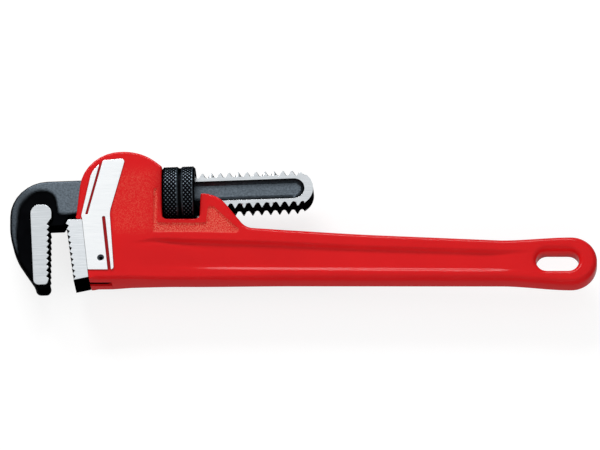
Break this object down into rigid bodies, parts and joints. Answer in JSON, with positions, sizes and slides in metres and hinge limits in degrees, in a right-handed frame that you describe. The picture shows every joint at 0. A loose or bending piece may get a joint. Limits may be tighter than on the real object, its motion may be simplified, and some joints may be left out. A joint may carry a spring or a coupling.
{
  "type": "pipe wrench",
  "caption": "Straight heavy-duty pipe wrench with a threaded hook jaw, a knurled adjusting nut, a sprung arch and an I-beam handle with a hang hole.",
  "frame": {"origin": "on the surface that the wrench lies on, under the middle of its outline", "axes": "+X along the handle, from the hook jaw to the hang hole; +Y across it, towards the top of the arch; +Z out of the upper face, up from the surface it lies on"},
  "size_m": [0.3522, 0.0892, 0.0357],
  "materials": {
    "cast_red": "gloss red enamel over a sand casting, with bare ground pads",
    "forged_black": "black oxide on forged steel, bright where ground",
    "ground_steel": "hardened steel, ground",
    "spring_steel": "tempered spring steel"
  },
  "bodies": {
    "handle": {"handle_housing": "cast_red", "heel_jaw": "ground_steel", "heel_jaw_pin": "spring_steel", "coil_spring": "spring_steel"},
    "spring_leaf": {"flat_spring": "spring_steel", "spring_rivet": "spring_steel"},
    "jaw": {"hook_jaw": "forged_black"},
    "nut": {"adjusting_nut": "forged_black"}
  },
  "joints": [
    {"name": "jaw_rock", "type": "hinge", "parent": "handle", "child": "spring_leaf", "pos_m": [-0.1273, -0.00278, 0.01785], "axis": [0, 0, 1], "range_deg": [-2, 0], "stiffness_Nm_per_rad": 6, "springref_deg": 5.73, "deforming": ["coil_spring"]},
    {"name": "jaw_slide", "type": "slide", "parent": "spring_leaf", "child": "jaw", "axis": [-0.9993, -0.0384, 0], "range_m": [-0.01, 0.048]},
    {"name": "nut_spin", "type": "hinge", "parent": "spring_leaf", "child": "nut", "pos_m": [-0.07488, 0.01851, 0.01785], "axis": [-0.9993, -0.0384, 0], "range_deg": [-668, 3201]}
  ],
  "couplings": [
    {"joint": "nut_spin", "follows": "jaw_slide", "rad_per_m": 1163.6}
  ]
}
